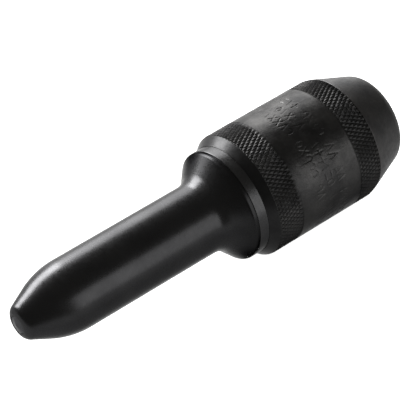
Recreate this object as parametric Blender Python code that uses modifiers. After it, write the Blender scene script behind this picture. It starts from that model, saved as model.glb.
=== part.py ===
"""Automatic centre punch with a knurled body, lying on its side.

A hardened point sits in a bullet-nosed punch. The punch screws through a guide
collar into a piston, and the three slide together in the knurled body. Pushing
the nose in moves the drive pin against the hammer, which compresses the main
spring until the trip bush centres the pin in the hammer's bore and lets the
hammer fly forward. The rear cap is a screw that sets how far the main spring
is squeezed, through a ball and a spring seat.

All lengths below are in millimetres along the tool's axis, measured from the
nose end towards the cap. The scene is in metres. The axis runs along +X, and
the body lies on z = 0.
"""

import math

import bmesh
import bpy

MM = 0.001

# Driving dimensions
BODY_DIAMETER = 31.75
TOTAL_LENGTH = 106.95
SHANK_RADIUS = 8.75
BELL_RADIUS = 13.95
NOSE_STROKE = 5.0
HAMMER_STROKE = 4.5

# Clearances and broken edges
SLIDE_GAP = 0.10
FACE_GAP = 0.30
EDGE_BREAK = 0.4
RING_EDGE = 0.15

# Seals and the grooves that hold them
SEAL_CORD_RADIUS = 0.75
GROOVE_WIDTH = 1.90
GROOVE_DEPTH = 1.72

# Nose
NOSE_CONE_ANGLE = math.radians(26)
TIP_FLAT_RADIUS = 2.30
TIP_EDGE_ROUND = 2.42
OGIVE_ROUND = 21.4
SHANK_START = 15.0
FILLET_START = 51.0
FILLET_ROUND = 5.2
FLARE_ANGLE = math.radians(47)
BELL_ROUND = 1.0
BELL_END = 59.0
STEM_RADIUS = 9.0
STEM_END = 69.0
PIN_BORE_RADIUS = 3.5
PIN_BORE_START = 47.0
KNOCK_OUT_RADIUS = 2.0
POINT_LENGTH = 12.0
POINT_LAND = 0.05
POINT_RISE = 0.35

# Collar, piston and their stop
COLLAR_START = BELL_END + 0.15
COLLAR_END = 63.8
PISTON_END = 73.8
NECK_RADIUS = 12.6
LAND_START = 70.2
PISTON_GROOVE_START = LAND_START + 0.8
STOP_RING_START = COLLAR_END + NOSE_STROKE + SLIDE_GAP
STOP_RING_END = STOP_RING_START + 1.0
STOP_RING_OUTER = 14.7
STOP_RING_GAP = (8.0, 5.0, 4.0)
STOP_RING_SIDE_GAP = 0.2

# Body
BODY_RADIUS = BODY_DIAMETER / 2
BORE_RADIUS = BELL_RADIUS + SLIDE_GAP
MOUTH = 61.75
MOUTH_LIP_RADIUS = 14.20
FRONT_CHAMFER_END = 63.75
REAR_CHAMFER_START = 93.7
BODY_END = 94.97
BODY_END_RADIUS = 15.5
REAR_BORE_RADIUS = 14.5
STEP = PISTON_END + NOSE_STROKE + 0.15

# Trip bush and hammer
BUSH_START = STEP + 0.25
BUSH_WEB_END = BUSH_START + 2.2
BUSH_END = 87.5
BUSH_RADIUS = 14.35
TRIP_MOUTH_RADIUS = 5.0
TRIP_THROAT_RADIUS = 2.2
HAMMER_RADIUS = 9.6
HAMMER_START = BUSH_WEB_END + FACE_GAP
HAMMER_END = 90.7
HAMMER_EDGE = 0.6
HAMMER_BORE_RADIUS = 2.3
HAMMER_POCKET_RADIUS = 6.6
HAMMER_POCKET_START = HAMMER_END - 1.8

# Drive pin and return spring
PIN_SHANK_RADIUS = PIN_BORE_RADIUS - FACE_GAP
PIN_FLANGE_START = STEM_END + FACE_GAP
PIN_FLANGE_END = PIN_FLANGE_START + 1.2
PIN_FLANGE_RADIUS = 5.4
PIN_TAIL_RADIUS = 1.8
PIN_TAIL_START = BUSH_START - 3.5
PIN_TAIL_TAPER = 2.0
RETURN_WIRE_RADIUS = 0.4
RETURN_SPRING_RADII = (4.4, 7.4)
RETURN_SPRING_TURNS = 4.5

# Cap
CAP_START = BODY_END + 0.08
CAP_START_RADIUS = 15.42
CAP_CONE_ANGLE = math.radians(20.9)
CAP_EDGE_ROUND = 4.47
CAP_STEM_RADIUS = 14.3
CAP_STEM_START = BUSH_END + 0.5
CAP_GROOVE_START = CAP_START - 3.1
CAP_BORE_RADIUS = 10.2
CAP_BORE_END = HAMMER_END + HAMMER_STROKE + 0.4
SPRING_POCKET_RADIUS = 6.6
SPRING_POCKET_END = 103.4

# Main spring, its seat and the ball that the cap presses on
SEAT_START = 100.9
SEAT_END = 102.5
SPIGOT_LENGTH = 1.6
BALL_RADIUS = 1.2
BALL_AT = SPRING_POCKET_END - 0.3
DIMPLE_RADIUS = 1.5
DIMPLE_FLOOR_RADIUS = 0.9
DIMPLE_REACH = BALL_RADIUS + SLIDE_GAP
MAIN_SPRING_RADIUS = 5.0
MAIN_WIRE_RADIUS = 0.65
MAIN_SPRING_TURNS = 5.5

# How finely round shapes are divided
OUTER_STEPS = 40
INNER_STEPS = 24
COIL_STEPS = 12
SEAL_SIDES = 8
BALL_SEGMENTS = 16
BALL_RINGS = 10
ARC_TOLERANCE = 0.025

# Where the tool lies in the scene, in metres
AXIS_HEIGHT = BODY_RADIUS * MM
NOSE_X = -(TOTAL_LENGTH - POINT_RISE) / 2 * MM

# Colours: (red, green, blue), metallic, roughness
FINISHES = {
    "black_oxide_smooth": ((0.020, 0.021, 0.023), 0.85, 0.30),
    "black_oxide_satin": ((0.028, 0.028, 0.030), 0.80, 0.45),
    "hardened_steel": ((0.110, 0.115, 0.125), 0.95, 0.35),
    "ground_steel": ((0.560, 0.570, 0.580), 1.00, 0.25),
    "spring_steel": ((0.300, 0.310, 0.330), 1.00, 0.30),
    "bronze": ((0.520, 0.330, 0.130), 1.00, 0.35),
    "rubber": ((0.015, 0.015, 0.015), 0.00, 0.75),
}


def clear_scene():
    for obj in list(bpy.data.objects):
        bpy.data.objects.remove(obj, do_unlink=True)


def make_collection(name):
    collection = bpy.data.collections.new(name)
    bpy.context.scene.collection.children.link(collection)
    return collection


def finish(name):
    """The Principled material of this finish, made once."""
    material = bpy.data.materials.get(name)
    if material:
        return material
    colour, metallic, roughness = FINISHES[name]
    material = bpy.data.materials.new(name)
    material.use_nodes = True
    shader = material.node_tree.nodes["Principled BSDF"]
    shader.inputs["Base Color"].default_value = (*colour, 1.0)
    shader.inputs["Metallic"].default_value = metallic
    shader.inputs["Roughness"].default_value = roughness
    material.diffuse_color = (*colour, 1.0)
    return material


def arc(centre, radius, start, end):
    """Points (along, out) on an arc, its angles from the outward direction towards
    the cap. Its chords stay within ARC_TOLERANCE of the curve."""
    widest = 2 * math.acos(1 - ARC_TOLERANCE / abs(radius))
    count = math.ceil(abs(end - start) / widest)
    points = []
    for i in range(count + 1):
        angle = start + (end - start) * i / count
        along = centre[0] + radius * math.sin(angle)
        out = centre[1] + radius * math.cos(angle)
        points.append((along, out))
    return points


def new_object(name, shape):
    """An object with the bmesh's geometry, shaded smooth."""
    mesh = bpy.data.meshes.new(name)
    shape.to_mesh(mesh)
    shape.free()
    mesh.shade_smooth()
    return bpy.data.objects.new(name, mesh)


def turned(name, outline, steps):
    """A piece turned about +Z. The outline's (along, out) points run from the cap
    end to the nose end on the outside, and back on the inside if it has a bore.
    The flats lie at the outline's distance from the axis, one of them underneath."""
    half_flat = math.tan(math.pi / steps)
    shape = bmesh.new()
    corners = []
    for along, out in outline:
        corners.append(shape.verts.new((out * MM, out * half_flat * MM, along * MM)))
    for first, second in zip(corners, corners[1:]):
        shape.edges.new((first, second))
    has_bore = outline[0][1] > 0
    if has_bore:
        shape.edges.new((corners[-1], corners[0]))
    obj = new_object(name, shape)
    screw = obj.modifiers.new("Turn", "SCREW")
    screw.axis = "Z"
    screw.steps = steps
    screw.render_steps = steps
    screw.use_merge_vertices = True
    screw.merge_threshold = 1e-6
    screw.use_smooth_shade = True
    obj.modifiers.new("Flat faces shade flat", "WEIGHTED_NORMAL")
    return obj


def ring(name, start, end, inner, outer):
    """A plain turned ring, its outer edges broken by a small chamfer."""
    outline = [
        (end, inner),
        (end, outer - RING_EDGE),
        (end - RING_EDGE, outer),
        (start + RING_EDGE, outer),
        (start, outer - RING_EDGE),
        (start, inner),
    ]
    return turned(name, outline, OUTER_STEPS)


def groove(rim_radius, start):
    """The corners of a seal's groove, from its cap end to its nose end."""
    end = start + GROOVE_WIDTH
    floor = rim_radius - GROOVE_DEPTH
    return [(end, rim_radius), (end, floor), (start, floor), (start, rim_radius)]


def seal(name, rim_radius, groove_start):
    """A rubber ring of round section, in the middle of its groove."""
    along = groove_start + GROOVE_WIDTH / 2
    out = rim_radius - SEAL_CORD_RADIUS - RING_EDGE / 2
    outline = []
    for i in range(SEAL_SIDES):
        angle = 2 * math.pi * (i + 0.5) / SEAL_SIDES
        corner = (along + SEAL_CORD_RADIUS * math.cos(angle), out + SEAL_CORD_RADIUS * math.sin(angle))
        outline.append(corner)
    return turned(name, outline, INNER_STEPS)


def coil(name, start, end, radii, wire_radius, turns):
    """A compression spring whose first and last turns lie nearly flat."""
    first = start + wire_radius
    last = end - wire_radius
    dead_rise = 1.65 * wire_radius
    count = round(turns * COIL_STEPS)
    curve = bpy.data.curves.new(name, "CURVE")
    curve.dimensions = "3D"
    curve.bevel_depth = wire_radius * MM
    curve.bevel_resolution = 2
    curve.use_fill_caps = True
    spline = curve.splines.new("POLY")
    spline.points.add(count)
    for i, point in enumerate(spline.points):
        turn = i / COIL_STEPS
        if turn < 1:
            along = first + dead_rise * turn
        elif turn > turns - 1:
            along = last - dead_rise * (turns - turn)
        else:
            share = (turn - 1) / (turns - 2)
            along = first + dead_rise + (last - first - 2 * dead_rise) * share
        out = radii[0] + (radii[1] - radii[0]) * i / count
        angle = 2 * math.pi * turn
        x = out * math.cos(angle)
        y = out * math.sin(angle)
        point.co = (x * MM, y * MM, along * MM, 1)
    return bpy.data.objects.new(name, curve)


def ball(name, along, radius):
    """A bearing ball centred on the tool's axis."""
    shape = bmesh.new()
    bmesh.ops.create_uvsphere(
        shape, u_segments=BALL_SEGMENTS, v_segments=BALL_RINGS, radius=radius * MM
    )
    bmesh.ops.translate(shape, vec=(0, 0, along * MM), verts=shape.verts)
    return new_object(name, shape)


def cutter_box(name, size, location):
    """A box that a Boolean takes away, kept out of the finished tool."""
    shape = bmesh.new()
    bmesh.ops.create_cube(shape, size=1.0)
    bmesh.ops.scale(shape, vec=[side * MM for side in size], verts=shape.verts)
    obj = new_object(name, shape)
    obj.location = [distance * MM for distance in location]
    obj.hide_render = True
    obj.display_type = "WIRE"
    return obj


def nose_outline():
    """The punch from its knock-out bore, pin bore and stem, over the bell and shank,
    round the nose and into the hole of the point."""
    ogive_centre = (SHANK_START, SHANK_RADIUS - OGIVE_ROUND)
    tip_centre = (TIP_EDGE_ROUND, TIP_FLAT_RADIUS)
    fillet_centre = (FILLET_START, SHANK_RADIUS + FILLET_ROUND)
    fillet_end = FILLET_START + FILLET_ROUND * math.sin(FLARE_ANGLE)
    fillet_end_radius = SHANK_RADIUS + FILLET_ROUND * (1 - math.cos(FLARE_ANGLE))
    bell_foot_radius = BELL_RADIUS - BELL_ROUND * (1 - math.cos(FLARE_ANGLE))
    flare = (bell_foot_radius - fillet_end_radius) / math.tan(FLARE_ANGLE)
    bell_top = fillet_end + flare + BELL_ROUND * math.sin(FLARE_ANGLE)
    bell_centre = (bell_top, BELL_RADIUS - BELL_ROUND)
    rim_centre = (BELL_END - EDGE_BREAK, BELL_RADIUS - EDGE_BREAK)

    outline = [
        (POINT_LENGTH, KNOCK_OUT_RADIUS),
        (PIN_BORE_START, KNOCK_OUT_RADIUS),
        (PIN_BORE_START, PIN_BORE_RADIUS),
        (STEM_END, PIN_BORE_RADIUS),
        (STEM_END, STEM_RADIUS - EDGE_BREAK),
        (STEM_END - EDGE_BREAK, STEM_RADIUS),
        (BELL_END, STEM_RADIUS),
    ]
    outline += arc(rim_centre, EDGE_BREAK, math.pi / 2, 0)
    outline += arc(bell_centre, BELL_ROUND, 0, -FLARE_ANGLE)
    outline += arc(fillet_centre, -FILLET_ROUND, -FLARE_ANGLE, 0)
    outline += arc(ogive_centre, OGIVE_ROUND, 0, -NOSE_CONE_ANGLE)
    outline += arc(tip_centre, TIP_EDGE_ROUND, -NOSE_CONE_ANGLE, -math.pi / 2)
    outline.append((POINT_LENGTH, TIP_FLAT_RADIUS))
    return outline


def point_outline():
    """The hardened point: a pin whose face is a very blunt cone."""
    radius = TIP_FLAT_RADIUS - SLIDE_GAP
    rear = POINT_LENGTH - FACE_GAP
    return [
        (rear, 0),
        (rear, radius - EDGE_BREAK),
        (rear - EDGE_BREAK, radius),
        (POINT_LAND, radius),
        (-POINT_RISE, 0),
    ]


def piston_outline():
    """A ring with a neck that passes the stop ring and a land with a seal groove."""
    bore = STEM_RADIUS + FACE_GAP
    neck_start = COLLAR_END + FACE_GAP
    outline = [(PISTON_END, bore), (PISTON_END, BELL_RADIUS)]
    outline += groove(BELL_RADIUS, PISTON_GROOVE_START)
    outline += [
        (LAND_START, BELL_RADIUS),
        (LAND_START, NECK_RADIUS),
        (neck_start, NECK_RADIUS),
        (neck_start, bore),
    ]
    return outline


def body_outline():
    """The knurled body: chamfered mouth, straight bore with the stop ring's groove,
    and a wider bore behind the step that the trip bush rests on."""
    groove_start = STOP_RING_START - STOP_RING_SIDE_GAP
    groove_end = STOP_RING_END + STOP_RING_SIDE_GAP
    groove_radius = STOP_RING_OUTER + STOP_RING_SIDE_GAP
    return [
        (BODY_END, REAR_BORE_RADIUS),
        (BODY_END, BODY_END_RADIUS),
        (REAR_CHAMFER_START, BODY_RADIUS),
        (FRONT_CHAMFER_END, BODY_RADIUS),
        (MOUTH, MOUTH_LIP_RADIUS),
        (MOUTH, BORE_RADIUS),
        (groove_start, BORE_RADIUS),
        (groove_start, groove_radius),
        (groove_end, groove_radius),
        (groove_end, BORE_RADIUS),
        (STEP, BORE_RADIUS),
        (STEP, REAR_BORE_RADIUS),
    ]


def bush_outline():
    """A cup: its web has the taper that centres the pin, its wall guides the hammer."""
    guide = HAMMER_RADIUS + 2 * SLIDE_GAP
    return [
        (BUSH_END, guide),
        (BUSH_END, BUSH_RADIUS),
        (BUSH_START, BUSH_RADIUS),
        (BUSH_START, TRIP_MOUTH_RADIUS),
        (BUSH_WEB_END - EDGE_BREAK, TRIP_THROAT_RADIUS),
        (BUSH_WEB_END, TRIP_THROAT_RADIUS),
        (BUSH_WEB_END, guide),
    ]


def pin_outline():
    """The drive pin: a shank in the punch, a flange for the return spring, a thin tail."""
    tail_end = HAMMER_START - FACE_GAP
    shank_start = PIN_BORE_START + FACE_GAP
    return [
        (tail_end, 0),
        (tail_end, PIN_TAIL_RADIUS - EDGE_BREAK),
        (tail_end - EDGE_BREAK, PIN_TAIL_RADIUS),
        (PIN_TAIL_START, PIN_TAIL_RADIUS),
        (PIN_TAIL_START - PIN_TAIL_TAPER, PIN_SHANK_RADIUS),
        (PIN_FLANGE_END, PIN_SHANK_RADIUS),
        (PIN_FLANGE_END, PIN_FLANGE_RADIUS),
        (PIN_FLANGE_START, PIN_FLANGE_RADIUS),
        (PIN_FLANGE_START, PIN_SHANK_RADIUS),
        (shank_start, PIN_SHANK_RADIUS),
        (shank_start, 0),
    ]


def hammer_outline():
    """The hammer: a blind bore in front that takes the pin's tail, a pocket behind
    that holds the main spring."""
    bore_end = HAMMER_START + NOSE_STROKE + 2 * SLIDE_GAP
    return [
        (HAMMER_POCKET_START, 0),
        (HAMMER_POCKET_START, HAMMER_POCKET_RADIUS),
        (HAMMER_END, HAMMER_POCKET_RADIUS),
        (HAMMER_END, HAMMER_RADIUS - HAMMER_EDGE),
        (HAMMER_END - HAMMER_EDGE, HAMMER_RADIUS),
        (HAMMER_START + HAMMER_EDGE, HAMMER_RADIUS),
        (HAMMER_START, HAMMER_RADIUS - HAMMER_EDGE),
        (HAMMER_START, HAMMER_BORE_RADIUS),
        (bore_end, HAMMER_BORE_RADIUS),
        (bore_end, 0),
    ]


def cap_outline():
    """The rear cap: a rounded cone, a threaded stem with a seal groove, and inside it
    a wide bore for the hammer, a narrow one for the spring and a dimple for the ball."""
    round_centre = TOTAL_LENGTH - CAP_EDGE_ROUND
    cone_end = round_centre + CAP_EDGE_ROUND * math.sin(CAP_CONE_ANGLE)
    cone_end_radius = CAP_START_RADIUS - (cone_end - CAP_START) * math.tan(CAP_CONE_ANGLE)
    centre_radius = cone_end_radius - CAP_EDGE_ROUND * math.cos(CAP_CONE_ANGLE)
    outline = [(TOTAL_LENGTH, 0)]
    outline += arc((round_centre, centre_radius), CAP_EDGE_ROUND, math.pi / 2, CAP_CONE_ANGLE)
    outline += [(CAP_START, CAP_START_RADIUS), (CAP_START, CAP_STEM_RADIUS)]
    outline += groove(CAP_STEM_RADIUS, CAP_GROOVE_START)
    outline += [
        (CAP_STEM_START + EDGE_BREAK, CAP_STEM_RADIUS),
        (CAP_STEM_START, CAP_STEM_RADIUS - EDGE_BREAK),
        (CAP_STEM_START, CAP_BORE_RADIUS),
        (CAP_BORE_END, CAP_BORE_RADIUS),
        (CAP_BORE_END, SPRING_POCKET_RADIUS),
        (SPRING_POCKET_END, SPRING_POCKET_RADIUS),
        (SPRING_POCKET_END, DIMPLE_RADIUS),
        (BALL_AT + DIMPLE_REACH, DIMPLE_FLOOR_RADIUS),
        (BALL_AT + DIMPLE_REACH, 0),
    ]
    return outline


def seat_outline():
    """The spring seat: a disc with a spigot inside the main spring and a dimple for
    the ball."""
    disc = SPRING_POCKET_RADIUS - 2 * SLIDE_GAP
    spigot = MAIN_SPRING_RADIUS - MAIN_WIRE_RADIUS - FACE_GAP
    spigot_start = SEAT_START - SPIGOT_LENGTH
    return [
        (BALL_AT - DIMPLE_REACH, 0),
        (BALL_AT - DIMPLE_REACH, DIMPLE_FLOOR_RADIUS),
        (SEAT_END, DIMPLE_RADIUS),
        (SEAT_END, disc),
        (SEAT_START, disc),
        (SEAT_START, spigot),
        (spigot_start, spigot - EDGE_BREAK),
        (spigot_start, 0),
    ]


def add_nose_group(add):
    """Everything that slides back when the nose is pushed in."""
    add(turned("nose_punch", nose_outline(), OUTER_STEPS), "black_oxide_smooth")
    add(turned("punch_point", point_outline(), INNER_STEPS), "hardened_steel")
    collar_bore = STEM_RADIUS + FACE_GAP
    collar = ring("guide_collar", COLLAR_START, COLLAR_END, collar_bore, BELL_RADIUS)
    add(collar, "black_oxide_satin")
    add(turned("piston", piston_outline(), OUTER_STEPS), "hardened_steel")
    add(seal("piston_o_ring", BELL_RADIUS, PISTON_GROOVE_START), "rubber")
    add(turned("drive_pin", pin_outline(), INNER_STEPS), "ground_steel")
    spring = coil(
        "return_spring",
        PIN_FLANGE_END + SLIDE_GAP,
        BUSH_START - SLIDE_GAP,
        RETURN_SPRING_RADII,
        RETURN_WIRE_RADIUS,
        RETURN_SPRING_TURNS,
    )
    add(spring, "spring_steel")


def add_body_group(add, add_cutter):
    """The knurled body and what stays fixed inside it."""
    add(turned("body_sleeve", body_outline(), OUTER_STEPS), "black_oxide_satin")
    ring_bore = NECK_RADIUS + FACE_GAP
    stop = ring("stop_ring", STOP_RING_START, STOP_RING_END, ring_bore, STOP_RING_OUTER)
    add(stop, "spring_steel")
    cutter_at = (STOP_RING_OUTER, 0, STOP_RING_START)
    cut = stop.modifiers.new("Gap", "BOOLEAN")
    cut.operation = "DIFFERENCE"
    cut.object = add_cutter(cutter_box("stop_ring_gap", STOP_RING_GAP, cutter_at))
    add(turned("trip_bush", bush_outline(), OUTER_STEPS), "hardened_steel")


def add_striking_group(add):
    """The hammer and the spring that throws it."""
    add(turned("hammer", hammer_outline(), INNER_STEPS), "ground_steel")
    spring = coil(
        "main_spring",
        HAMMER_POCKET_START + SLIDE_GAP,
        SEAT_START - SLIDE_GAP,
        (MAIN_SPRING_RADIUS, MAIN_SPRING_RADIUS),
        MAIN_WIRE_RADIUS,
        MAIN_SPRING_TURNS,
    )
    add(spring, "spring_steel")


def add_cap_group(add):
    """The screw cap, its friction seal, and the ball and seat that it pushes."""
    add(turned("rear_cap", cap_outline(), OUTER_STEPS), "black_oxide_satin")
    add(seal("cap_o_ring", CAP_STEM_RADIUS, CAP_GROOVE_START), "rubber")
    add(turned("spring_seat", seat_outline(), INNER_STEPS), "bronze")
    add(ball("thrust_ball", BALL_AT, BALL_RADIUS), "ground_steel")


def main():
    clear_scene()
    parts = make_collection("centre_punch")
    cutters = make_collection("cutters")
    tool_axis = bpy.data.objects.new("tool_axis", None)
    tool_axis.location = (NOSE_X, 0, AXIS_HEIGHT)
    tool_axis.rotation_euler = (0, math.pi / 2, 0)
    parts.objects.link(tool_axis)

    def add(obj, finish_name):
        """Puts a piece modelled along its own +Z onto the tool's axis."""
        parts.objects.link(obj)
        obj.parent = tool_axis
        obj.data.materials.append(finish(finish_name))

    def add_cutter(obj):
        cutters.objects.link(obj)
        obj.parent = tool_axis
        return obj

    add_nose_group(add)
    add_body_group(add, add_cutter)
    add_striking_group(add)
    add_cap_group(add)


main()
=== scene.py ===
"""Looks for the automatic centre punch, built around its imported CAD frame.

Outlines, and the measures named below, are in millimetres, x along the tool's axis
from the nose end and r out from that axis, as in the CAD source. The frame, the
camera's distance, the lights and the table are in metres.
"""

import math
import random

import bpy
import numpy as np
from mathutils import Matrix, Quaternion, Vector


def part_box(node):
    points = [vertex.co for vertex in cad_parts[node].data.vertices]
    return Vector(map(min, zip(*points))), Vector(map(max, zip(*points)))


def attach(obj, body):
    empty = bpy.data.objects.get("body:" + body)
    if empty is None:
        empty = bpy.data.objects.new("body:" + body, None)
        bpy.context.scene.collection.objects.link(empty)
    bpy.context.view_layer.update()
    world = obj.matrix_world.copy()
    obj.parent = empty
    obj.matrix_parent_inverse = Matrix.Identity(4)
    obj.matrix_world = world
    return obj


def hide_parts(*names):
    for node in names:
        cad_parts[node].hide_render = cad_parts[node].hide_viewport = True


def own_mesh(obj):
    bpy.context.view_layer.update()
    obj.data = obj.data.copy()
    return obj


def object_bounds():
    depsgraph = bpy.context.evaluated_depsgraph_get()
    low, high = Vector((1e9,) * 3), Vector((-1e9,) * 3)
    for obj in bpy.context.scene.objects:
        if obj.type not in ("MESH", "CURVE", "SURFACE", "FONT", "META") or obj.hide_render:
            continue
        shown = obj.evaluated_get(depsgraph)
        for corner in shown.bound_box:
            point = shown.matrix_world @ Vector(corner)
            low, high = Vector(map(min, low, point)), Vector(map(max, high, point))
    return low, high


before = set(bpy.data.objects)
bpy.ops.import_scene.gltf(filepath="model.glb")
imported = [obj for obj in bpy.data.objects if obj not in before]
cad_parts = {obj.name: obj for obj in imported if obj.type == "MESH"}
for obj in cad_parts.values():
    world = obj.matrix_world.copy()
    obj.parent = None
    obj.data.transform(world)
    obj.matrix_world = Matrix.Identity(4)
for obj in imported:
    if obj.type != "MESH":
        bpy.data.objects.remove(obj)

MM = 0.001
CAD_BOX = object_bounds()

# Read from the frame
NOSE_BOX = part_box("nose_punch")
BODY_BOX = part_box("body_sleeve")
COLLAR_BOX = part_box("guide_collar")
CAP_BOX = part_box("rear_cap")
NOSE_X = NOSE_BOX[0].x
AXIS_Z = (BODY_BOX[0].z + BODY_BOX[1].z) / 2
FLOOR_Z = CAD_BOX[0].z


def along(x):
    """Millimetres from the nose end of a place in the frame."""
    return (x - NOSE_X) / MM


def radius(box):
    return (box[1].z - box[0].z) / 2 / MM


BODY_RADIUS = radius(BODY_BOX)
BELL_RADIUS = radius(NOSE_BOX)
COLLAR_RADIUS = radius(COLLAR_BOX)
STEM_END = along(NOSE_BOX[1].x)
MOUTH = along(BODY_BOX[0].x)
BODY_END = along(BODY_BOX[1].x)
COLLAR_START = along(COLLAR_BOX[0].x)
COLLAR_END = along(COLLAR_BOX[1].x)
CAP_STEM_START = along(CAP_BOX[0].x)
CAP_END = along(CAP_BOX[1].x) - 0.002  # rounding would put it past the CAD box

# Roundings, the clearance round a pin or stem, and the limits that solid() uses
BROKEN_EDGE = 0.2
FINE_EDGE = 0.08
SOFT_EDGE = 0.25
COLLAR_EDGE = 0.16
CAP_EDGE = 0.22
GAP = 0.3
SHARPEST_SMOOTH_EDGE = math.radians(24)
WELD_DISTANCE = 1e-7

# Facets: along an arc, round each kind of turned piece, and round a cord or wire
ARC_STEP = math.radians(7)
ARC_LENGTH = 0.8
WIDE_STEPS = 256
INNER_STEPS = 200
SEAT_STEPS = 160
PIN_STEPS = 128
POINT_STEPS = 96
BALL_STEPS = 64
BALL_RINGS = 33
STOP_RING_STEPS = 180
CORD_SIDES = 24
WIRE_SIDES = 16
WIRE_STEPS_A_TURN = 40
ON_AXIS = 1e-6

# Nose
SHANK_RADIUS = 8.75
NOSE_CONE = math.radians(26)
TIP_RADIUS = 3.81
TIP_ROUND = 2.42
OGIVE_ROUND = 21.4
POINT_RADIUS = 2.20
POINT_HOLE = 2.30
POINT_HOLE_EDGE = 0.06
POINT_LENGTH = 11.7
POINT_LAND = 0.05
POINT_RISE = 0.35
POINT_BLUNT = 0.12
FLARE = math.radians(47)
FLARE_START = 53.26
FILLET_ROUND = 5.2
BELL_ROUND = 1.0
BELL_RIM_ROUND = 0.14
BELL_END = COLLAR_START - 0.004
# Between these two places along the nose, the bell's colour is darkened with painted shade
BELL_PAINTED_SHADE_START = 54.0
BELL_PAINTED_SHADE_END = 59.0
STEM_RADIUS = 9.0
PIN_BORE = 3.5
PIN_BORE_START = 47.0
KNOCK_OUT_BORE = 2.0

# Seal grooves
GROOVE_WIDTH = 1.9
GROOVE_DEPTH = 1.72

# Piston, pin and trip bush
PISTON_LAND = 3.6
LAND_LIP = 0.8
NECK_RADIUS = 12.6
PIN_SHANK = PIN_BORE - GAP
PIN_TAIL_RADIUS = 1.8
PIN_TAIL = 5.6
PIN_TAPER_END = 7.6
PIN_FLANGE_END = 10.8
PIN_FLANGE_START = 12.0
BUSH_WEB = 2.2
TRIP_MOUTH = 5.0
TRIP_TAPER = 1.8
TRIP_THROAT = 2.2
HAMMER_GUIDE = 9.8

# Hammer, seat and springs
HAMMER_EDGE = 0.7
HAMMER_BORE = 2.3
HAMMER_BORE_DEPTH = 5.2
SPRING_POCKET = 6.6
HAMMER_POCKET_DEPTH = 1.8
SEAT_SPIGOT = 4.05
SEAT_SPIGOT_LENGTH = 1.6
DIMPLE_DEPTH = 0.7
DIMPLE_MOUTH = 1.5
DIMPLE_FLOOR = 0.9
STOP_RING_BORE = 12.9
STOP_RING_TURNS = (0.53, 1.47)
RETURN_WIRE = 0.4
RETURN_RADII = (4.4, 7.4)
RETURN_TURNS = 4.5
MAIN_WIRE = 0.65
MAIN_RADII = (5.0, 5.0)
MAIN_TURNS = 5.5
FLAT_TURNS = 0.9
FLAT_RISE = 1.3
GROUND_OFF = 0.15

# Body
LIP_RADIUS = 14.02
FRONT_CHAMFER_END = 64.05
PLAIN_RADIUS = BODY_RADIUS - 0.045  # rolled knurls stand a little proud of it
REAR_CHAMFER_START = 93.7
REAR_RADIUS = 15.5
BORE = 14.05
MOUTH_BORE = 13.97
MOUTH_BORE_END = 63.0
REAR_BORE = 14.5
BORE_STEP = 78.95
REAR_CORNER = 0.12
REAR_LAND = 0.4
REAR_BEVEL = 0.15
REAR_RIM = 0.05
LIP_LAND = 0.04
KNURL_BORDER = 0.15
FRONT_PLAIN = 2.2
REAR_PLAIN = 1.5

# Knurls: TEETH diamonds round the body, and SAMPLES steps to a diamond each way
TEETH = 85
SAMPLES = 8
TOOTH_LENGTH = 1.86
KNURL_DEPTH = 0.25
KNURL_CREST = 0.90
FRONT_KNURL_START = 63.8
FRONT_KNURL_ROWS = 30
REAR_KNURL_START = 88.4
REAR_KNURL_ROWS = 28
KNURL_RUN_OUT = 0.8
KNURL_LEAD_IN = 0.03
KNURL_END_DEPTH = 0.03
TOOTH_WEAR = np.random.default_rng(5).uniform(0.78, 1.0, (TEETH, TEETH))

# Marks, all cut in the plain part of the body: each row is where it starts and its height
MARK_ROWS = ((75.4, 2.1), (78.7, 2.1), (82.0, 2.1))
MARK_PITCH = 1.95
MARK_WIDTH = 1.25
MARK_STROKE = 0.20
MARK_DEPTH = 0.10
MARK_STEP = 0.14
MARK_GAPS = 0.10
MARK_DRIFT = 0.12
FAINTEST_MARK = 0.35

# Cap
CAP_STEPS = 320
CAP_START = BODY_END + 0.08
CAP_START_RADIUS = 15.42
CAP_CONE = math.radians(20.9)
CAP_ROUND = 4.47
CAP_STEM_RADIUS = 14.3
THREAD_PITCH = 1.5
THREAD_DEPTH = 0.55
THREAD_SAMPLES = 8
CAP_GROOVE_END = CAP_START - 1.2
THREAD_END = CAP_START - 3.5
THREAD_START = CAP_STEM_START + 0.5
THREAD_LEAD = 0.3
HAMMER_ROOM = 10.2
HAMMER_ROOM_END = 95.6
POCKET_END = 103.4
CAP_DIMPLE_END = 104.4

# Camera: where the tool is seen from, and the place it aims at (the AIM values are in mm)
CAMERA_AZIMUTH = math.radians(-39.18)
CAMERA_ELEVATION = math.radians(46.05)
CAMERA_DISTANCE = 0.5174
CAMERA_LENS = 190.9
AIM_ALONG = 59.98
AIM_RIGHT = -4.05
AIM_UP = -1.17

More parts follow.
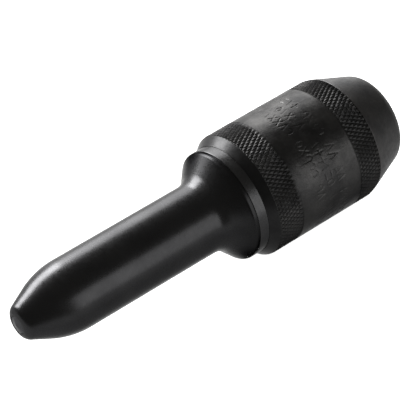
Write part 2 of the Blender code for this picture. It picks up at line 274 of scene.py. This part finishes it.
# Finishes: dark and light colour, range of roughness, share kept at a glancing angle
METALS = {
    # The nose's dim paints shade over its bell
    "black_oxide_nose": (
        ((0.014, 0.014, 0.0145), (0.018, 0.018, 0.0185), (0.25, 0.32), 0.55),
        {"bump": 0.008, "dim": (BELL_PAINTED_SHADE_START, BELL_PAINTED_SHADE_END, 0.6)},
    ),
    "black_oxide_sleeve": (
        ((0.011, 0.011, 0.0112), (0.026, 0.0256, 0.0252), (0.29, 0.44), 0.5),
        {"bump": 0.05},
    ),
    "black_oxide_mouth": (
        ((0.009, 0.009, 0.0092), (0.014, 0.014, 0.0142), (0.28, 0.38), 0.6),
        {"lay": 0.4},
    ),
    "black_oxide_collar": (
        ((0.020, 0.020, 0.0205), (0.027, 0.027, 0.0275), (0.24, 0.34), 0.5),
        {"lay": 0.6},
    ),
    "black_oxide_knurl": (
        ((0.0095, 0.0095, 0.0097), (0.0195, 0.0192, 0.019), (0.38, 0.52), 0.42),
        {"bump": 0.05},
    ),
    "black_oxide_cap": (
        ((0.019, 0.019, 0.0195), (0.037, 0.036, 0.0355), (0.38, 0.54), 0.6),
        {"bump": 0.05},
    ),
    "hardened_point_steel": (
        ((0.014, 0.014, 0.0148), (0.026, 0.026, 0.0275), (0.3, 0.42), 0.6),
        {"lay": 0.3},
    ),
    "hardened_steel": (((0.08, 0.083, 0.09), (0.14, 0.145, 0.155), (0.28, 0.42)), {"lay": 0.5}),
    "ground_steel": (((0.46, 0.47, 0.48), (0.60, 0.61, 0.62), (0.16, 0.28)), {"lay": 0.8}),
    "spring_wire": (((0.22, 0.23, 0.25), (0.34, 0.35, 0.37), (0.24, 0.38)), {"grain": 1500.0}),
    "machined_bronze": (((0.42, 0.25, 0.10), (0.56, 0.36, 0.15), (0.24, 0.38)), {"lay": 0.7}),
}
BLOTCHES = 160.0
LAY_SCALE = (9000.0, 60.0, 60.0)

# Lights: name, azimuth, elevation, distance, width, height, glow, roll
SOFTBOXES = (
    ("back_softbox", 151, 16.5, 0.45, 0.36, 0.29, 15.5, 0.0),
    ("side_softbox", 187, 21, 0.45, 0.34, 0.215, 50.0, -14.0),
    ("front_softbox", 18.0, 20.5, 0.40, 0.29, 0.29, 4.3, 0.0),
)
ROOM_COLOUR = (0.42, 0.41, 0.385)
TABLE_HALF = 3.0
TABLE_COLOUR = 0.36
TABLE_GLOW = 0.93


def corner_arc(before, corner, after, size):
    """Points on the arc of this radius that rounds a corner of an outline."""
    corner = np.array(corner, float)
    back = np.array(before, float) - corner
    ahead = np.array(after, float) - corner
    back /= np.linalg.norm(back)
    ahead /= np.linalg.norm(ahead)
    half = math.acos(np.clip(back @ ahead, -1, 1)) / 2
    reach = size / math.tan(half)
    centre = corner + (back + ahead) / np.linalg.norm(back + ahead) * size / math.sin(half)
    sweep = math.pi - 2 * half
    count = max(3, math.ceil(sweep / ARC_STEP), math.ceil(sweep * size / ARC_LENGTH))
    first = corner + back * reach - centre
    last = corner + ahead * reach - centre
    points = []
    for i in range(count + 1):
        share = i / count
        turn = math.sin((1 - share) * sweep) * first + math.sin(share * sweep) * last
        points.append(tuple(centre + turn / math.sin(sweep)))
    return points


def outline(*corners):
    """A turned piece's section. Each corner is (x, r) or (x, r, rounding)."""
    points = []
    for i, corner in enumerate(corners):
        if len(corner) == 2:
            points.append(corner)
            continue
        before = corners[i - 1][:2]
        after = corners[(i + 1) % len(corners)][:2]
        points += corner_arc(before, corner[:2], after, corner[2])
    return np.array(points, float)


def lathe(name, section, steps, relief=None, diamonds=None):
    """Turns a section about the tool's axis, outside running from the cap end to the nose.

    relief is a (rows, steps) array of millimetres to add to each radius. diamonds holds
    a row's number within its knurl, or -1: the facets there are split along the grooves.
    """
    rows = len(section)
    closed = section[0][1] > ON_AXIS
    angles = 2 * math.pi * np.arange(steps) / steps
    out = np.repeat(section[:, 1:2], steps, 1)
    if relief is not None:
        out = out + relief
    x = NOSE_X + np.repeat(section[:, 0:1], steps, 1) * MM
    y = out * MM * np.sin(angles)
    z = AXIS_Z + out * MM * np.cos(angles)
    points = np.stack([x, y, z], -1).reshape(-1, 3)
    faces = []
    for i in range(rows if closed else rows - 1):
        k = (i + 1) % rows
        start, end = i * steps, k * steps
        in_knurl = diamonds is not None and diamonds[i] >= 0 and diamonds[k] >= 0
        for j in range(steps):
            m = (j + 1) % steps
            a, b, c, d = start + j, start + m, end + m, end + j
            if not closed and i == 0:
                faces.append((start, c, d))
            elif not closed and k == rows - 1:
                faces.append((a, b, end))
            elif in_knurl:
                row = min(diamonds[i], diamonds[k])
                rising = diamonds[k] > diamonds[i]
                falls = (row + j + 1) % (SAMPLES // 2) == 0
                across = falls if rising else not falls
                faces += [(a, b, d), (b, c, d)] if across else [(a, b, c), (a, c, d)]
            else:
                faces.append((a, b, c, d))
    return solid(name, points, faces)


def solid(name, points, faces):
    """A smooth-shaded mesh object with its faces pointing out."""
    mesh = bpy.data.meshes.new(name)
    mesh.from_pydata([tuple(p) for p in points], [], faces)
    mesh.update()
    obj = bpy.data.objects.new(name, mesh)
    bpy.context.scene.collection.objects.link(obj)
    weld = obj.modifiers.new("Weld", "WELD")
    weld.merge_threshold = WELD_DISTANCE
    mesh.shade_smooth()
    mesh.set_sharp_from_angle(angle=SHARPEST_SMOOTH_EDGE)
    return obj


def knurl_height(row, step):
    """From 0 in a groove to about 1 on a tooth, where two sets of helical grooves cross."""
    rising = (step + row) / SAMPLES
    falling = (step - row) / SAMPLES
    nearest = np.minimum(np.abs(rising - np.round(rising)), np.abs(falling - np.round(falling)))
    tooth = np.floor(rising).astype(int) % TEETH, np.floor(falling).astype(int) % TEETH
    return np.minimum(2 * nearest, KNURL_CREST) / KNURL_CREST * TOOTH_WEAR[tooth]


def run_out(x, end):
    """The share of a knurl's depth at x, which fades where it ends on the plain part."""
    return min(abs(x - end) / KNURL_RUN_OUT, 1.0)


def segment_distance(px, py, start, end):
    """Distance from each point to a line segment."""
    sx, sy = start
    dx, dy = end[0] - sx, end[1] - sy
    share = np.clip(((px - sx) * dx + (py - sy) * dy) / (dx * dx + dy * dy), 0, 1)
    return np.hypot(px - sx - share * dx, py - sy - share * dy)


def ring_of(start, end, sides):
    """Strokes along part of a circle, from one angle to another in turns."""
    corners = []
    for i in range(sides + 1):
        angle = 2 * math.pi * (start + (end - start) * i / sides)
        corners.append((0.5 + 0.5 * math.cos(angle), 0.5 + 0.5 * math.sin(angle)))
    return tuple(zip(corners, corners[1:]))


# Generic shapes in place of the roll-marked lettering, as strokes in a unit square
MARKS = (
    ring_of(0, 1, 10),
    ring_of(0.1, 0.6, 6),
    ring_of(0, 0.5, 6) + (((0, 0.5), (0, 0)),),
    (((0.5, 0), (1, 0.5)), ((1, 0.5), (0.5, 1)), ((0.5, 1), (0, 0.5)), ((0, 0.5), (0.5, 0))),
    (((0, 0), (1, 0)), ((1, 0), (0.5, 1)), ((0.5, 1), (0, 0))),
    (((0, 0), (0.5, 1)), ((0.5, 1), (1, 0))),
    (((0.5, 0), (0.5, 1)), ((0, 0.5), (1, 0.5))),
    (((0, 0), (1, 1)), ((0, 1), (1, 0))),
    (((0.3, 0), (0.7, 1)),),
    (((0, 0.1), (1, 0.1)), ((0, 0.9), (1, 0.9))),
)


def mark_depth(x, arc):
    """How deep the marks are cut, 0 to 1, at each (x, distance round the body)."""
    pick = random.Random(11)
    depth = np.zeros(x.shape)
    around = 2 * math.pi * PLAIN_RADIUS
    slots = int(around / MARK_PITCH)
    for start, height in MARK_ROWS:
        inside = (x > start - MARK_STROKE) & (x < start + height + MARK_STROKE)
        for slot in range(slots):
            strokes = pick.choice(MARKS)
            strength = pick.uniform(FAINTEST_MARK, 1.0)
            left = slot * around / slots + pick.uniform(-MARK_DRIFT, MARK_DRIFT)
            if pick.random() < MARK_GAPS:
                continue
            near = inside & (arc > left - MARK_STROKE) & (arc < left + MARK_WIDTH + MARK_STROKE)
            if not near.any():
                continue
            u = arc[near] - left
            v = x[near] - start
            closest = np.full(u.shape, MARK_WIDTH)
            for one, two in strokes:
                one = (one[0] * MARK_WIDTH, one[1] * height)
                two = (two[0] * MARK_WIDTH, two[1] * height)
                closest = np.minimum(closest, segment_distance(u, v, one, two))
            cut = np.clip(1 - closest / MARK_STROKE, 0, 1)
            depth[near] = np.maximum(depth[near], strength * cut * (2 - cut))
    return depth


def nose():
    """The punch: bullet nose, shank, fillet and bell outside, pin's bore inside."""
    bell_start = FLARE_START + (BELL_RADIUS - SHANK_RADIUS) / math.tan(FLARE)
    shoulder = (SHANK_RADIUS - TIP_RADIUS) / math.tan(NOSE_CONE)
    hole_end = POINT_LENGTH + GAP
    section = outline(
        (hole_end, KNOCK_OUT_BORE),
        (PIN_BORE_START, KNOCK_OUT_BORE),
        (PIN_BORE_START, PIN_BORE),
        (STEM_END, PIN_BORE, BROKEN_EDGE),
        (STEM_END, STEM_RADIUS, 0.5),
        (BELL_END, STEM_RADIUS),
        (BELL_END, BELL_RADIUS, BELL_RIM_ROUND),
        (bell_start, BELL_RADIUS, BELL_ROUND),
        (FLARE_START, SHANK_RADIUS, FILLET_ROUND),
        (shoulder, SHANK_RADIUS, OGIVE_ROUND),
        (0, TIP_RADIUS, TIP_ROUND),
        (0, POINT_HOLE, POINT_HOLE_EDGE),
        (hole_end, POINT_HOLE),
    )
    return lathe("bullet_nose", section, WIDE_STEPS)


def point():
    section = outline(
        (POINT_LENGTH, 0),
        (POINT_LENGTH, POINT_RADIUS, 0.4),
        (POINT_LAND, POINT_RADIUS, 0.10),
        (-POINT_RISE + 0.02, POINT_BLUNT),
        (-POINT_RISE, 0),
    )
    return lathe("hardened_point", section, POINT_STEPS)


def collar():
    bore = STEM_RADIUS + GAP
    section = outline(
        (COLLAR_END, bore),
        (COLLAR_END, COLLAR_RADIUS, BROKEN_EDGE),
        (COLLAR_START, COLLAR_RADIUS, COLLAR_EDGE),
        (COLLAR_START, bore),
    )
    return lathe("collar_band", section, WIDE_STEPS)


def sleeve_outside(front, rear):
    """The body's outline from its rear edge, over both knurls, to the mouth, and back
    through the bore. Each point is x, r and its row in a knurl, or -1."""
    rear_slope = (BODY_RADIUS - REAR_RADIUS) / (BODY_END - REAR_CHAMFER_START)
    front_slope = (BODY_RADIUS - LIP_RADIUS) / (FRONT_CHAMFER_END - MOUTH)
    marked = []
    for start, height in MARK_ROWS:
        first, last = start - MARK_STROKE, start + height + MARK_STROKE
        marked += list(np.linspace(first, last, round((last - first) / MARK_STEP) + 1))
    plain = [front[-1] + KNURL_BORDER, front[-1] + FRONT_PLAIN]
    plain = sorted(plain + marked + [rear[0] - REAR_PLAIN, rear[0] - KNURL_BORDER])

    face = REAR_BORE + REAR_BEVEL, REAR_RADIUS - REAR_RIM
    points = [(BODY_END, r, -1) for r in face]
    for i in reversed(range(len(rear))):
        points.append((rear[i], BODY_RADIUS - max(rear[i] - REAR_CHAMFER_START, 0) * rear_slope, i))
    points += [(x, PLAIN_RADIUS, -1) for x in reversed(plain)]
    for i in reversed(range(len(front))):
        chamfer = LIP_RADIUS + (front[i] - MOUTH) * front_slope
        points.append((front[i], min(BODY_RADIUS, chamfer), i))
    before = front[0] - KNURL_LEAD_IN
    points.append((before, LIP_RADIUS + (before - MOUTH) * front_slope, -1))
    inside = outline(
        (MOUTH, LIP_RADIUS),
        (MOUTH + LIP_LAND, MOUTH_BORE),
        (MOUTH_BORE_END, MOUTH_BORE),
        (MOUTH_BORE_END, BORE),
        (BORE_STEP, BORE),
        (BORE_STEP, REAR_BORE),
        (BODY_END, REAR_BORE, REAR_CORNER),
        (BODY_END, REAR_BORE + REAR_LAND),
    )[:-1]
    return points + [(x, r, -1) for x, r in inside]


def sleeve_relief(points, front, rear):
    """How far the knurls and marks go below the outline, for each point and step round.
    The front knurl is cut before the mouth's chamfer, which takes its teeth off."""
    step = np.arange(TEETH * SAMPLES)
    relief = np.zeros((len(points), len(step)))
    for i, (x, r, row) in enumerate(points):
        if row < 0:
            continue
        fade = run_out(x, front[-1]) if x < MARK_ROWS[0][0] else run_out(x, rear[0])
        cut = (1 - knurl_height(row, step)) * KNURL_DEPTH * fade + (1 - fade) * KNURL_END_DEPTH
        relief[i] = -np.maximum(cut - (BODY_RADIUS - r), 0) if x < FRONT_CHAMFER_END else -cut
    marks = np.array([r == PLAIN_RADIUS for _, r, _ in points])
    arc = np.repeat((step / len(step) * 2 * math.pi * PLAIN_RADIUS)[None, :], marks.sum(), 0)
    x = np.repeat(np.array([[x] for x, _, _ in points])[marks], len(step), 1)
    relief[marks] -= MARK_DEPTH * mark_depth(x, arc)
    return relief


def sleeve():
    """The knurled body. Its materials are 0 on the plain part, 1 at the mouth and 2 on
    the knurls."""
    pitch = TOOTH_LENGTH / SAMPLES
    front = FRONT_KNURL_START + pitch * np.arange(FRONT_KNURL_ROWS + 1)
    rear = REAR_KNURL_START + pitch * np.arange(REAR_KNURL_ROWS + 1)
    points = sleeve_outside(front, rear)
    section = np.array([(x, r) for x, r, _ in points])
    rows = [row for _, _, row in points]
    relief = sleeve_relief(points, front, rear)
    body = lathe("knurled_sleeve", section, TEETH * SAMPLES, relief, rows)
    for face in body.data.polygons:
        x = along(face.center.x)
        if x < front[0]:
            face.material_index = 1
        elif x < front[-1] or x > rear[0]:
            face.material_index = 2
    return body


def cap():
    """The screw cap: rounded outside, with a seal's groove and a thread on its stem."""
    end_radius = CAP_START_RADIUS - (CAP_END - CAP_START) * math.tan(CAP_CONE)
    section = outline(
        (CAP_END, 0),
        (CAP_END, end_radius, CAP_ROUND),
        (CAP_START, CAP_START_RADIUS, CAP_EDGE),
        (CAP_START, CAP_STEM_RADIUS),
        (CAP_GROOVE_END, CAP_STEM_RADIUS, FINE_EDGE),
        (CAP_GROOVE_END, CAP_STEM_RADIUS - GROOVE_DEPTH),
        (CAP_GROOVE_END - GROOVE_WIDTH, CAP_STEM_RADIUS - GROOVE_DEPTH),
        (CAP_GROOVE_END - GROOVE_WIDTH, CAP_STEM_RADIUS, FINE_EDGE),
    )
    thread = np.arange(THREAD_END, THREAD_START, -THREAD_PITCH / THREAD_SAMPLES)
    stem = np.stack([thread, np.full(thread.shape, CAP_STEM_RADIUS)], -1)
    root = CAP_STEM_RADIUS - THREAD_DEPTH
    inside = outline(
        (CAP_STEM_START + THREAD_LEAD, root),
        (CAP_STEM_START, root - BROKEN_EDGE),
        (CAP_STEM_START, HAMMER_ROOM, BROKEN_EDGE),
        (HAMMER_ROOM_END, HAMMER_ROOM),
        (HAMMER_ROOM_END, SPRING_POCKET, BROKEN_EDGE),
        (POCKET_END, SPRING_POCKET),
        (POCKET_END, DIMPLE_MOUTH, 0.15),
        (CAP_DIMPLE_END, DIMPLE_FLOOR),
        (CAP_DIMPLE_END, 0),
    )
    rows = np.concatenate([section, stem, inside])
    relief = np.zeros((len(rows), CAP_STEPS))
    turns = np.arange(CAP_STEPS) / CAP_STEPS
    for i, x in enumerate(thread):
        phase = x / THREAD_PITCH - turns
        relief[len(section) + i] = -2 * THREAD_DEPTH * np.abs(phase - np.round(phase))
    return lathe("rounded_cap", rows, CAP_STEPS, relief)


def o_ring(name, node):
    """A fine torus in the place of a seal."""
    low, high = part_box(node)
    cord = (high.x - low.x) / 2 / MM
    middle = along((low.x + high.x) / 2)
    out = radius((low, high)) - cord
    section = []
    for i in range(CORD_SIDES):
        angle = 2 * math.pi * i / CORD_SIDES
        section.append((middle + cord * math.cos(angle), out + cord * math.sin(angle)))
    return lathe(name, np.array(section), SEAT_STEPS)


def span(node):
    """A node's start, end and radius, in the outlines' millimetres."""
    low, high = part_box(node)
    return along(low.x), along(high.x), radius((low, high))


def piston():
    start, end, rim = span("piston")
    bore = STEM_RADIUS + GAP
    land = end - PISTON_LAND
    groove = land + LAND_LIP
    section = outline(
        (end, bore, BROKEN_EDGE),
        (end, rim, SOFT_EDGE),
        (groove + GROOVE_WIDTH, rim, FINE_EDGE),
        (groove + GROOVE_WIDTH, rim - GROOVE_DEPTH),
        (groove, rim - GROOVE_DEPTH),
        (groove, rim, FINE_EDGE),
        (land, rim, BROKEN_EDGE),
        (land, NECK_RADIUS),
        (start, NECK_RADIUS, BROKEN_EDGE),
        (start, bore, BROKEN_EDGE),
    )
    return lathe("threaded_piston", section, INNER_STEPS)


def drive_pin():
    start, end, flange = span("drive_pin")
    section = outline(
        (end, 0),
        (end, PIN_TAIL_RADIUS, 0.4),
        (end - PIN_TAIL, PIN_TAIL_RADIUS, 0.6),
        (end - PIN_TAPER_END, PIN_SHANK, 0.6),
        (end - PIN_FLANGE_END, PIN_SHANK),
        (end - PIN_FLANGE_END, flange, BROKEN_EDGE),
        (end - PIN_FLANGE_START, flange, BROKEN_EDGE),
        (end - PIN_FLANGE_START, PIN_SHANK),
        (start, PIN_SHANK, 0.5),
        (start, 0),
    )
    return lathe("flanged_drive_pin", section, PIN_STEPS)


def trip_bush():
    start, end, rim = span("trip_bush")
    section = outline(
        (end, HAMMER_GUIDE, BROKEN_EDGE),
        (end, rim, 0.3),
        (start, rim, 0.3),
        (start, TRIP_MOUTH, 0.15),
        (start + TRIP_TAPER, TRIP_THROAT, BROKEN_EDGE),
        (start + BUSH_WEB, TRIP_THROAT),
        (start + BUSH_WEB, HAMMER_GUIDE, 0.4),
    )
    return lathe("cupped_trip_bush", section, INNER_STEPS)


def hammer():
    start, end, rim = span("hammer")
    section = outline(
        (end - HAMMER_POCKET_DEPTH, 0),
        (end - HAMMER_POCKET_DEPTH, SPRING_POCKET, BROKEN_EDGE),
        (end, SPRING_POCKET, 0.15),
        (end, rim, HAMMER_EDGE),
        (start, rim, HAMMER_EDGE),
        (start, HAMMER_BORE, BROKEN_EDGE),
        (start + HAMMER_BORE_DEPTH, HAMMER_BORE, 0.4),
        (start + HAMMER_BORE_DEPTH, 0),
    )
    return lathe("ground_hammer", section, INNER_STEPS)


def spring_seat():
    start, end, rim = span("spring_seat")
    section = outline(
        (end - DIMPLE_DEPTH, 0),
        (end - DIMPLE_DEPTH, DIMPLE_FLOOR, BROKEN_EDGE),
        (end, DIMPLE_MOUTH, 0.15),
        (end, rim, SOFT_EDGE),
        (start + SEAT_SPIGOT_LENGTH, rim, SOFT_EDGE),
        (start + SEAT_SPIGOT_LENGTH, SEAT_SPIGOT),
        (start, SEAT_SPIGOT, 0.5),
        (start, 0),
    )
    return lathe("bronze_seat", section, SEAT_STEPS)


def thrust_ball():
    start, end, size = span("thrust_ball")
    angles = np.linspace(0, math.pi, BALL_RINGS)
    section = np.stack([(start + end) / 2 + size * np.cos(angles), size * np.sin(angles)], -1)
    section[[0, -1], 1] = 0
    return lathe("bearing_ball", section, BALL_STEPS)


def sweep(name, loops):
    """A solid through a row of loops of (x, y, z) in the outlines' millimetres, its
    two ends closed. y and z are measured from the tool's axis."""
    count, sides = loops.shape[:2]
    points = loops.reshape(-1, 3) * MM + np.array((NOSE_X, 0, AXIS_Z))
    faces = [tuple(range(sides)), tuple(reversed(range((count - 1) * sides, count * sides)))]
    for i in range(count - 1):
        for j in range(sides):
            m = (j + 1) % sides
            faces.append((i * sides + j, (i + 1) * sides + j, (i + 1) * sides + m, i * sides + m))
    return solid(name, points, faces)


def stop_ring():
    start, end, rim = span("stop_ring")
    section = outline(
        (end, STOP_RING_BORE, 0.1),
        (end, rim, BROKEN_EDGE),
        (start, rim, BROKEN_EDGE),
        (start, STOP_RING_BORE, 0.1),
    )
    loops = []
    for turn in np.linspace(*STOP_RING_TURNS, STOP_RING_STEPS):
        out = np.stack([np.sin(2 * math.pi * turn), np.cos(2 * math.pi * turn)])
        loops.append([(x, r * out[0], r * out[1]) for x, r in section])
    return sweep("split_stop_ring", np.array(loops))


def spring(name, node, wire, radii, turns):
    """A coil spring whose end turns lie flat and are ground square."""
    start, end, _ = span(node)
    steps = round(turns * WIRE_STEPS_A_TURN)
    turn = turns * np.arange(steps + 1) / steps
    share = np.clip((turn - FLAT_TURNS) / (turns - 2 * FLAT_TURNS), 0, 1)
    rise = FLAT_RISE * wire
    first = rise * np.minimum(turn, FLAT_TURNS) / FLAT_TURNS
    last = rise * np.clip(turn - turns + FLAT_TURNS, 0, FLAT_TURNS) / FLAT_TURNS
    x = start + wire + first + (end - start - 2 * wire - 2 * rise) * share + last
    out = radii[0] + (radii[1] - radii[0]) * turn / turns
    loops = []
    for i in range(steps + 1):
        around = 2 * math.pi * turn[i]
        loop = []
        for j in range(WIRE_SIDES):
            angle = 2 * math.pi * j / WIRE_SIDES
            r = out[i] + wire * math.cos(angle)
            ground = np.clip(x[i] + wire * math.sin(angle), start + GROUND_OFF, end - GROUND_OFF)
            loop.append((ground, r * math.sin(around), -r * math.cos(around)))
        loops.append(loop)
    return sweep(name, np.array(loops))


def nodes_of(material):
    material.use_nodes = True
    tree = material.node_tree
    return tree, tree.nodes["Principled BSDF"]


def add_node(tree, kind, **values):
    """A node with its attributes, and with its inputs by name, set."""
    node = tree.nodes.new(kind)
    for name, value in values.items():
        if hasattr(node, name):
            setattr(node, name, value)
        else:
            node.inputs[name.replace("_", " ")].default_value = value
    return node


def ramp(tree, source, low, high, start=0.3, end=0.7):
    """Turns a 0 to 1 value into one that runs from low to high."""
    node = tree.nodes.new("ShaderNodeMapRange")
    node.inputs["From Min"].default_value = start
    node.inputs["From Max"].default_value = end
    node.inputs["To Min"].default_value = low
    node.inputs["To Max"].default_value = high
    tree.links.new(source, node.inputs["Value"])
    return node.outputs["Result"]


def mix_colour(tree, share, dark, light):
    node = tree.nodes.new("ShaderNodeMix")
    node.data_type = "RGBA"
    node.inputs["A"].default_value = (*dark, 1)
    node.inputs["B"].default_value = (*light, 1)
    tree.links.new(share, node.inputs["Factor"])
    return node.outputs["Result"]


def scaled(tree, colour, amount):
    """A colour times a number."""
    node = tree.nodes.new("ShaderNodeVectorMath")
    node.operation = "SCALE"
    tree.links.new(colour, node.inputs[0])
    tree.links.new(amount, node.inputs["Scale"])
    return node.outputs["Vector"]


def metal(name, dark, light, rough, edge=1.0, grain=900.0, bump=0.02, lay=0.0, dim=None):
    """Blotchy oxide or bare steel: colour and roughness vary with noise, a fine grain
    roughens it, edge dims it at a glancing angle, and lay adds the rings of turning.
    dim is (start, end, share): painted shade, as the colour and the glancing reflection darken to
    that share between two places along the axis."""
    material = bpy.data.materials.new(name)
    tree, shader = nodes_of(material)
    shader.inputs["Metallic"].default_value = 1.0
    shader.inputs["Specular Tint"].default_value = (edge, edge, edge, 1)
    place = tree.nodes.new("ShaderNodeTexCoord").outputs["Object"]
    wide = add_node(tree, "ShaderNodeTexNoise", Scale=BLOTCHES, Detail=5.0, Roughness=0.6)
    fine = add_node(tree, "ShaderNodeTexNoise", Scale=grain, Detail=6.0, Roughness=0.65)
    tree.links.new(place, wide.inputs["Vector"])
    tree.links.new(place, fine.inputs["Vector"])
    colour = mix_colour(tree, ramp(tree, wide.outputs["Fac"], 0, 1), dark, light)
    # Painted shade: from start to end along the axis, the colour and the glancing reflection darken
    # to the given share
    if dim:
        start, end, share = dim
        apart = tree.nodes.new("ShaderNodeSeparateXYZ")
        tree.links.new(place, apart.inputs["Vector"])
        kept = ramp(tree, apart.outputs["X"], 1, share, NOSE_X + start * MM, NOSE_X + end * MM)
        colour = scaled(tree, colour, kept)
        glancing = ramp(tree, kept, edge * share, edge, share, 1)
        tree.links.new(glancing, shader.inputs["Specular Tint"])
    tree.links.new(colour, shader.inputs["Base Color"])
    tree.links.new(ramp(tree, fine.outputs["Fac"], *rough), shader.inputs["Roughness"])
    height = fine.outputs["Fac"]
    if lay:
        squeeze = add_node(tree, "ShaderNodeMapping", Scale=LAY_SCALE)
        rings = add_node(tree, "ShaderNodeTexNoise", Scale=1.0, Detail=3.0)
        tree.links.new(place, squeeze.inputs["Vector"])
        tree.links.new(squeeze.outputs["Vector"], rings.inputs["Vector"])
        both = add_node(tree, "ShaderNodeMath", operation="MULTIPLY_ADD")
        both.inputs[1].default_value = lay
        tree.links.new(rings.outputs["Fac"], both.inputs[0])
        tree.links.new(height, both.inputs[2])
        height = both.outputs["Value"]
    dent = add_node(tree, "ShaderNodeBump", Strength=bump * 10, Distance=0.0001)
    tree.links.new(height, dent.inputs["Height"])
    tree.links.new(dent.outputs["Normal"], shader.inputs["Normal"])
    return material


def soft_rubber():
    """Black moulded rubber with a dull, slightly dusty bloom."""
    material = bpy.data.materials.new("seal_rubber")
    tree, shader = nodes_of(material)
    place = tree.nodes.new("ShaderNodeTexCoord").outputs["Object"]
    bloom = add_node(tree, "ShaderNodeTexNoise", Scale=700.0, Detail=4.0)
    tree.links.new(place, bloom.inputs["Vector"])
    share = ramp(tree, bloom.outputs["Fac"], 0, 1)
    colour = mix_colour(tree, share, (0.008, 0.008, 0.008), (0.022, 0.022, 0.021))
    tree.links.new(colour, shader.inputs["Base Color"])
    tree.links.new(ramp(tree, bloom.outputs["Fac"], 0.55, 0.8), shader.inputs["Roughness"])
    return material


def dress(obj, body, node, material):
    """Gives a piece its finish, and puts it on its body in place of its CAD node."""
    obj.data.materials.append(material)
    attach(obj, body)
    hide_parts(node)


def squash_towards_cap(obj, node):
    """Gives a spring a mesh of its own, after reading its CAD node's box."""
    low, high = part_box(node)
    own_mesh(obj)


def softbox(name, azimuth, elevation, distance, width, height, glow, roll):
    """An area light that faces the tool, glow being its radiance. Azimuth 0 is on the
    -Y side and 90 on the +X side, and roll turns the light about its own axis."""
    light = bpy.data.lights.new(name, "AREA")
    light.shape = "RECTANGLE"
    light.size = width
    light.size_y = height
    light.energy = glow * math.pi * width * height
    obj = bpy.data.objects.new(name, light)
    a, e = math.radians(azimuth), math.radians(elevation)
    way = Vector((math.sin(a) * math.cos(e), -math.cos(a) * math.cos(e), math.sin(e)))
    obj.location = Vector((0, 0, AXIS_Z)) + way * distance
    facing = way.to_track_quat("Z", "Y") @ Quaternion((0, 0, 1), math.radians(roll))
    obj.rotation_euler = facing.to_euler()
    bpy.context.scene.collection.objects.link(obj)


def camera():
    """The photo's view of the tool, its nose at the lower left and nearest."""
    a, e = CAMERA_AZIMUTH, CAMERA_ELEVATION
    back = Vector((math.sin(a) * math.cos(e), -math.cos(a) * math.cos(e), math.sin(e)))
    right = Vector((math.cos(a), math.sin(a), 0))
    up = Vector((-math.sin(a) * math.sin(e), math.cos(a) * math.sin(e), math.cos(e)))
    aim = Vector((NOSE_X + AIM_ALONG * MM, 0, AXIS_Z)) + right * AIM_RIGHT * MM + up * AIM_UP * MM
    data = bpy.data.cameras.new("camera")
    data.lens = CAMERA_LENS
    data.sensor_width = 36.0
    data.clip_start = 0.01
    obj = bpy.data.objects.new("camera", data)
    obj.location = aim + back * CAMERA_DISTANCE
    obj.rotation_euler = (math.pi / 2 - e, 0, a)
    bpy.context.scene.collection.objects.link(obj)
    bpy.context.scene.camera = obj


def stage():
    """A white table that glows softly, three softboxes and a dim room."""
    mesh = bpy.data.meshes.new("table")
    half = TABLE_HALF
    corners = [(-half, -half), (half, -half), (half, half), (-half, half)]
    mesh.from_pydata([(x, y, FLOOR_Z) for x, y in corners], [], [(0, 1, 2, 3)])
    table = bpy.data.objects.new("table", mesh)
    bpy.context.scene.collection.objects.link(table)
    material = bpy.data.materials.new("white_table")
    tree, shader = nodes_of(material)
    shader.inputs["Base Color"].default_value = (TABLE_COLOUR, TABLE_COLOUR, TABLE_COLOUR, 1)
    shader.inputs["Roughness"].default_value = 0.9
    shader.inputs["Specular IOR Level"].default_value = 0.0
    shader.inputs["Emission Color"].default_value = (1, 1, 1, 1)
    shader.inputs["Emission Strength"].default_value = TABLE_GLOW
    mesh.materials.append(material)

    for box in SOFTBOXES:
        softbox(*box)

    world = bpy.data.worlds.new("room")
    bpy.context.scene.world = world
    world.use_nodes = True
    world.node_tree.nodes["Background"].inputs["Color"].default_value = (*ROOM_COLOUR, 1)
    bpy.context.scene.view_settings.view_transform = "Standard"


def main():
    camera()
    stage()
    finish = {name: metal(name, *look, **more) for name, (look, more) in METALS.items()}
    oxide, bare = finish["black_oxide_nose"], finish["hardened_point_steel"]
    hard, bright, wire = finish["hardened_steel"], finish["ground_steel"], finish["spring_wire"]
    rubber = soft_rubber()

    dress(nose(), "nose", "nose_punch", oxide)
    dress(point(), "nose", "punch_point", bare)
    dress(collar(), "nose", "guide_collar", finish["black_oxide_collar"])
    dress(piston(), "nose", "piston", hard)
    dress(o_ring("piston_seal", "piston_o_ring"), "nose", "piston_o_ring", rubber)
    dress(drive_pin(), "nose", "drive_pin", bright)

    body = sleeve()
    dress(body, "body", "body_sleeve", finish["black_oxide_sleeve"])
    body.data.materials.append(finish["black_oxide_mouth"])
    body.data.materials.append(finish["black_oxide_knurl"])
    dress(stop_ring(), "body", "stop_ring", wire)
    dress(trip_bush(), "body", "trip_bush", hard)
    conical = spring(
        "conical_return_spring", "return_spring", RETURN_WIRE, RETURN_RADII, RETURN_TURNS
    )
    dress(conical, "body", "return_spring", wire)
    squash_towards_cap(conical, "return_spring")

    dress(hammer(), "hammer", "hammer", bright)
    dress(spring_seat(), "adjuster", "spring_seat", finish["machined_bronze"])
    dress(thrust_ball(), "adjuster", "thrust_ball", bright)
    straight = spring("striking_spring", "main_spring", MAIN_WIRE, MAIN_RADII, MAIN_TURNS)
    dress(straight, "adjuster", "main_spring", wire)
    squash_towards_cap(straight, "main_spring")

    dress(cap(), "cap", "rear_cap", finish["black_oxide_cap"])
    dress(o_ring("cap_seal", "cap_o_ring"), "cap", "cap_o_ring", rubber)


main()
